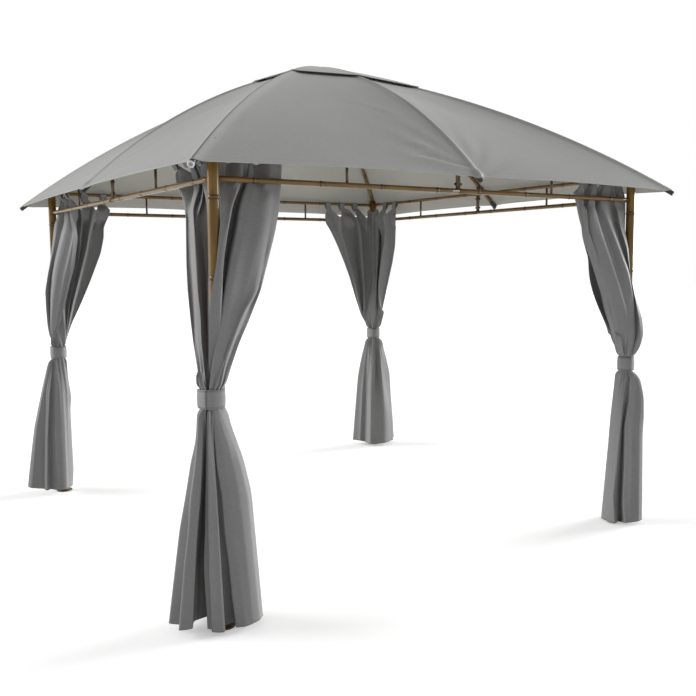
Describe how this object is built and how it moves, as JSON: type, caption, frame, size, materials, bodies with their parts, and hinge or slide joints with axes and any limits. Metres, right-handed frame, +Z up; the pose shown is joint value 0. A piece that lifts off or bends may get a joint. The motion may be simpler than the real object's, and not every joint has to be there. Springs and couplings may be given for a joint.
{
  "type": "garden gazebo",
  "caption": "Square garden gazebo with a bamboo-look tube frame, a domed grey cloth roof with a vent cap, and tied curtains at the corner posts.",
  "frame": {"origin": "on the ground at the middle of the square plan", "axes": "+Z up, -Y to the front, +X along the front to the right"},
  "size_m": [3.0112, 3.0112, 2.8],
  "materials": {
    "bamboo_tube": "satin bamboo-look print on steel tube",
    "foot_bronze": "satin bronze paint",
    "end_cap_black": "matt",
    "roof_cloth": "coated woven polyester",
    "curtain_cloth": "woven polyester"
  },
  "bodies": {
    "root": {"front_left_post": "bamboo_tube", "front_right_post": "bamboo_tube", "back_left_post": "bamboo_tube", "back_right_post": "bamboo_tube", "front_left_foot": "foot_bronze", "front_right_foot": "foot_bronze", "back_left_foot": "foot_bronze", "back_right_foot": "foot_bronze", "front_frame_left": "bamboo_tube", "front_frame_right": "bamboo_tube", "right_frame_front": "bamboo_tube", "right_frame_back": "bamboo_tube", "back_frame_right": "bamboo_tube", "back_frame_left": "bamboo_tube", "left_frame_back": "bamboo_tube", "left_frame_front": "bamboo_tube", "front_left_hip_rib": "bamboo_tube", "front_right_hip_rib": "bamboo_tube", "back_left_hip_rib": "bamboo_tube", "back_right_hip_rib": "bamboo_tube", "front_rib": "bamboo_tube", "right_rib": "bamboo_tube", "back_rib": "bamboo_tube", "left_rib": "bamboo_tube", "crown_hub": "bamboo_tube", "hip_end_caps": "end_cap_black", "side_end_caps": "end_cap_black", "front_roof_panel": "roof_cloth", "right_roof_panel": "roof_cloth", "back_roof_panel": "roof_cloth", "left_roof_panel": "roof_cloth", "vent_cap": "roof_cloth", "front_left_curtain": "curtain_cloth", "front_right_curtain": "curtain_cloth", "back_left_curtain": "curtain_cloth", "back_right_curtain": "curtain_cloth", "front_left_curtain_tabs": "curtain_cloth", "front_right_curtain_tabs": "curtain_cloth", "back_left_curtain_tabs": "curtain_cloth", "back_right_curtain_tabs": "curtain_cloth", "front_left_tieback": "curtain_cloth", "front_right_tieback": "curtain_cloth", "back_left_tieback": "curtain_cloth", "back_right_tieback": "curtain_cloth"}
  },
  "joints": []
}
